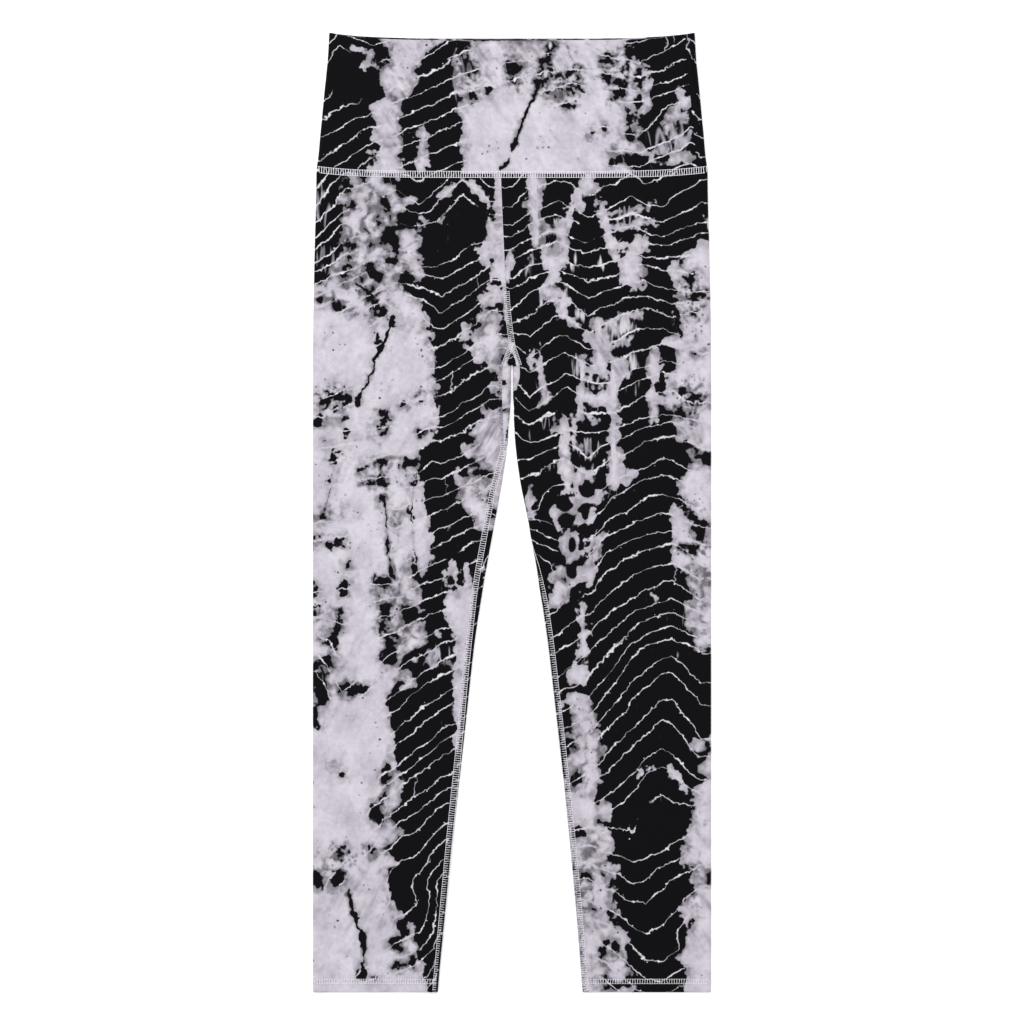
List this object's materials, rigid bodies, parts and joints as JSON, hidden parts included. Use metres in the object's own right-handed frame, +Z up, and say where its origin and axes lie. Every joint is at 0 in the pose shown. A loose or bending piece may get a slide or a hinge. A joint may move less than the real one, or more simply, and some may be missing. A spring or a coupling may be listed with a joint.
{
  "type": "high-waist leggings, laid flat",
  "caption": "Women's ankle-length leggings laid flat: wide doubled waistband, one-piece legs folded at the outer side, crotch gusset and turned-up hems, in black and pale pole-dyed stretch knit.",
  "frame": {"origin": "middle of the footprint, on the surface that the garment lies on", "axes": "+Y from the hems to the waist, +X to the wearer's left leg, +Z up, with the front of the garment upward"},
  "size_m": [0.398, 0.959, 0.0058],
  "materials": {
    "dyed_knit": "smooth matt stretch jersey, resist-dyed black over pale lavender-white",
    "thread": "pale polyester overlock thread"
  },
  "bodies": {
    "root": {"waistband_front": "dyed_knit", "waistband_back": "dyed_knit", "leg_left": "dyed_knit", "leg_right": "dyed_knit", "gusset": "dyed_knit"}
  },
  "joints": []
}
